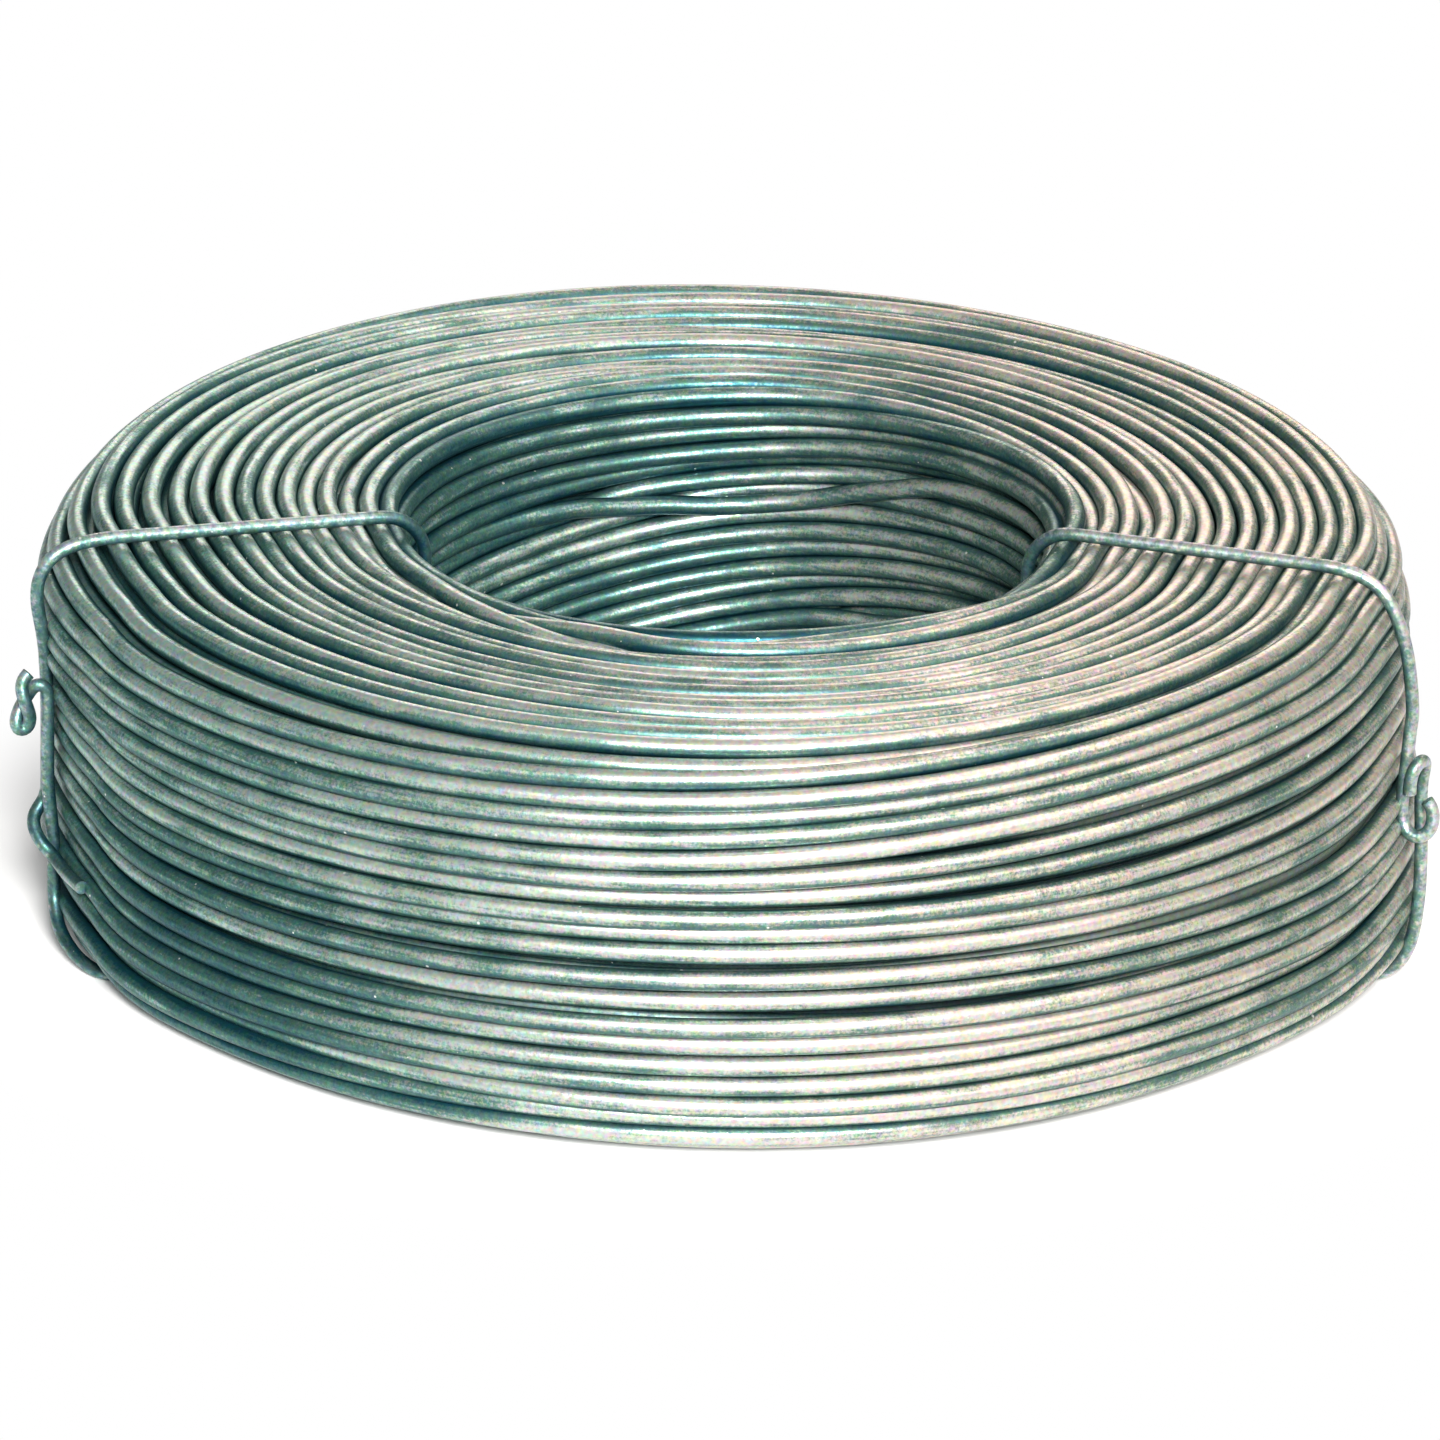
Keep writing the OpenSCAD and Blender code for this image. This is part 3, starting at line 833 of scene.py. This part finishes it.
class WIRECOIL_OT_core(bpy.types.Operator):
    """Fills the middle of the section, so that no light comes through the gaps"""

    bl_idname = "wirecoil.core"
    bl_label = "Pack the core"

    def execute(self, context):
        c = coil()
        around, across = 96, 48
        az = np.repeat(np.arange(around) * 2 * math.pi / around, across)
        s = np.tile(np.arange(across) / across * round_the_section(), around)
        points, _ = to_world(az, s, np.full(s.shape, -1.75 * c.wire_diameter))
        faces = []
        for i in range(around):
            for j in range(across):
                a, b = i * across, (i + 1) % around * across
                k = (j + 1) % across
                faces.append((a + j, b + j, b + k, a + k))
        mesh = bpy.data.meshes.new("packed_core")
        mesh.from_pydata(points.tolist(), [], faces)
        solid = bmesh.new()
        solid.from_mesh(mesh)
        bmesh.ops.recalc_face_normals(solid, faces=solid.faces)
        solid.to_mesh(mesh)
        solid.free()
        # Dark copies of the wire's colours, as painted shade deep inside the coil
        mesh.materials.append(galvanized_wire("wire inside in painted shade", "#33494c", "#24383b", "#16262a", 0.6))
        obj = bpy.data.objects.new("packed_core", mesh)
        context.scene.collection.objects.link(obj)
        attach(obj, BODY)
        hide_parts("wire_coil")
        return {"FINISHED"}


class WIRECOIL_OT_ties(bpy.types.Operator):
    """Bends the two tie wires round the coil"""

    bl_idname = "wirecoil.ties"
    bl_label = "Bend the ties"

    def execute(self, context):
        # The ties get the same painted shade, weaker, with less painted shade at the foot and a milder warm tint
        zinc = galvanized_wire("galvanized tie wire", "#acb6b4", "#587570", "#153e47", 0.42,
                               side_shading=0.25, mottle=0.55)
        routes = (left_tie_route(), right_tie_route())
        for name, route, az in zip(("left_tie", "right_tie"), routes, tie_azimuths()):
            wire_piece(name + "_wire", [at_azimuth(route, az)], ties().wire_diameter / 2, 16, zinc,
                       [name], shade_edge=-1.7)
        return {"FINISHED"}


class WIRECOIL_OT_stage(bpy.types.Operator):
    """Lays the floor and sets the lamps and the camera"""

    bl_idname = "wirecoil.stage"
    bl_label = "Set the stage"

    def execute(self, context):
        make_floor()
        make_lamps()
        make_camera()
        return {"FINISHED"}


def make_floor():
    """A pale floor, white to the camera but keeping the coil's shadow."""
    side = 6.0
    mesh = bpy.data.meshes.new("floor")
    mesh.from_pydata([(-side, -side, 0), (side, -side, 0), (side, side, 0), (-side, side, 0)], [], [(0, 1, 2, 3)])
    obj = bpy.data.objects.new("floor", mesh)
    bpy.context.scene.collection.objects.link(obj)
    material = bpy.data.materials.new("pale matt floor")
    material.use_nodes = True
    tree = material.node_tree
    skin = tree.nodes["Principled BSDF"]
    skin.inputs["Base Color"].default_value = linear(stage().floor_colour)
    skin.inputs["Roughness"].default_value = 0.9
    # Further from the coil than its shadow reaches, the floor is a plain white backdrop
    place = add_node(tree, "ShaderNodeTexCoord")
    away = add_node(tree, "ShaderNodeVectorMath", {0: place.outputs["Object"]}, operation="LENGTH")
    far = add_node(tree, "ShaderNodeMapRange",
                   {"Value": away.outputs["Value"], "From Min": 0.050, "From Max": 0.071},
                   interpolation_type="SMOOTHSTEP")
    rays = add_node(tree, "ShaderNodeLightPath")
    seen = add_node(tree, "ShaderNodeMath",
                    {0: rays.outputs["Is Camera Ray"], 1: rays.outputs["Is Glossy Ray"]}, operation="MAXIMUM")
    seen = add_node(tree, "ShaderNodeMath",
                    {0: seen.outputs["Value"], 1: rays.outputs["Is Transmission Ray"]}, operation="MAXIMUM")
    share = add_node(tree, "ShaderNodeMath", {0: seen.outputs["Value"], 1: far.outputs["Result"]},
                     operation="MULTIPLY")
    white = add_node(tree, "ShaderNodeEmission", {"Color": (1, 1, 1, 1), "Strength": 1.0})
    mix = add_node(tree, "ShaderNodeMixShader", {"Fac": share.outputs["Value"]})
    tree.links.new(skin.outputs["BSDF"], mix.inputs[1])
    tree.links.new(white.outputs["Emission"], mix.inputs[2])
    tree.links.new(mix.outputs["Shader"], tree.nodes["Material Output"].inputs["Surface"])
    mesh.materials.append(material)


def area_lamp(name, place, target, size, power, colour):
    """A square soft lamp aimed at a point."""
    lamp = bpy.data.lights.new(name, "AREA")
    lamp.shape = "RECTANGLE"
    lamp.size, lamp.size_y = size
    lamp.energy = power
    lamp.color = linear(colour)[:3]
    obj = bpy.data.objects.new(name, lamp)
    obj.location = place
    obj.rotation_euler = (Vector(target) - Vector(place)).to_track_quat("-Z", "Y").to_euler()
    bpy.context.scene.collection.objects.link(obj)


def make_lamps():
    """A small and a soft lamp in front, soft ones above and behind, and an even pale world."""
    middle = (0, 0, COIL_H / 2)
    area_lamp("front_lamp", (0.08, -1.0, 0.55), middle, (0.22, 0.26), 31.0, "#fffdfb")
    area_lamp("right_lamp", (0.80, -0.50, 0.55), middle, (0.5, 0.4), 2.3, "#ffece4")
    area_lamp("top_lamp", (0.52, 0.0, 0.93), middle, (0.7, 0.6), 4.6, "#ffeae4")
    area_lamp("back_lamp", (0.08, 0.95, 0.5), middle, (0.7, 0.5), 3.5, "#ffeee8")
    world = bpy.data.worlds.new("pale studio")
    bpy.context.scene.world = world
    world.use_nodes = True
    plain = world.node_tree.nodes["Background"]
    plain.inputs["Color"].default_value = linear("#c4dcd8")
    plain.inputs["Strength"].default_value = 0.11


def make_camera():
    """The camera at the photograph's angle, a little rolled, looking slightly below the coil's middle."""
    st = stage()
    middle = Vector((0, 0, COIL_H / 2))
    back = Vector((0, -math.cos(st.elevation), math.sin(st.elevation)))
    right = Vector((1, 0, 0))
    up = back.cross(right)
    turn = Matrix((right, up, back)).transposed() @ Matrix.Rotation(st.roll, 3, "Z")
    aim = middle - turn.col[1] * st.aim_low - turn.col[0] * st.aim_left
    lens = bpy.data.cameras.new("camera")
    lens.sensor_width = 36
    lens.lens = st.focal_length
    lens.clip_start = 0.05
    obj = bpy.data.objects.new("camera", lens)
    obj.matrix_world = Matrix.Translation(aim + back * st.distance) @ turn.to_4x4()
    bpy.context.scene.collection.objects.link(obj)
    bpy.context.scene.camera = obj
    bpy.context.scene.view_settings.view_transform = "Standard"


class WIRECOIL_PT_sidebar(bpy.types.Panel):
    """Lists the coil's sizes and the steps that make it"""

    bl_idname = "WIRECOIL_PT_sidebar"
    bl_label = "Wire Coil"
    bl_space_type = "VIEW_3D"
    bl_region_type = "UI"
    bl_category = "Wire Coil"

    def draw(self, context):
        for group in (coil(), ties(), stage()):
            box = self.layout.box()
            for name in group.__annotations__:
                box.prop(group, name)
        for step in STEPS:
            self.layout.operator(step.bl_idname)


STEPS = (WIRECOIL_OT_turns, WIRECOIL_OT_under_turns, WIRECOIL_OT_core, WIRECOIL_OT_ties,
         WIRECOIL_OT_stage)
CLASSES = (WireCoilSizes, WireTieSizes, WireStage) + STEPS + (WIRECOIL_PT_sidebar,)


def register():
    for cls in CLASSES:
        bpy.utils.register_class(cls)
    bpy.types.Scene.wire_coil_sizes = bpy.props.PointerProperty(type=WireCoilSizes)
    bpy.types.Scene.wire_tie_sizes = bpy.props.PointerProperty(type=WireTieSizes)
    bpy.types.Scene.wire_stage = bpy.props.PointerProperty(type=WireStage)


def unregister():
    del bpy.types.Scene.wire_stage
    del bpy.types.Scene.wire_tie_sizes
    del bpy.types.Scene.wire_coil_sizes
    for cls in reversed(CLASSES):
        bpy.utils.unregister_class(cls)


def main():
    register()
    bpy.ops.wirecoil.turns()
    bpy.ops.wirecoil.under_turns()
    bpy.ops.wirecoil.core()
    bpy.ops.wirecoil.ties()
    bpy.ops.wirecoil.stage()


if __name__ == "__main__":
    main()
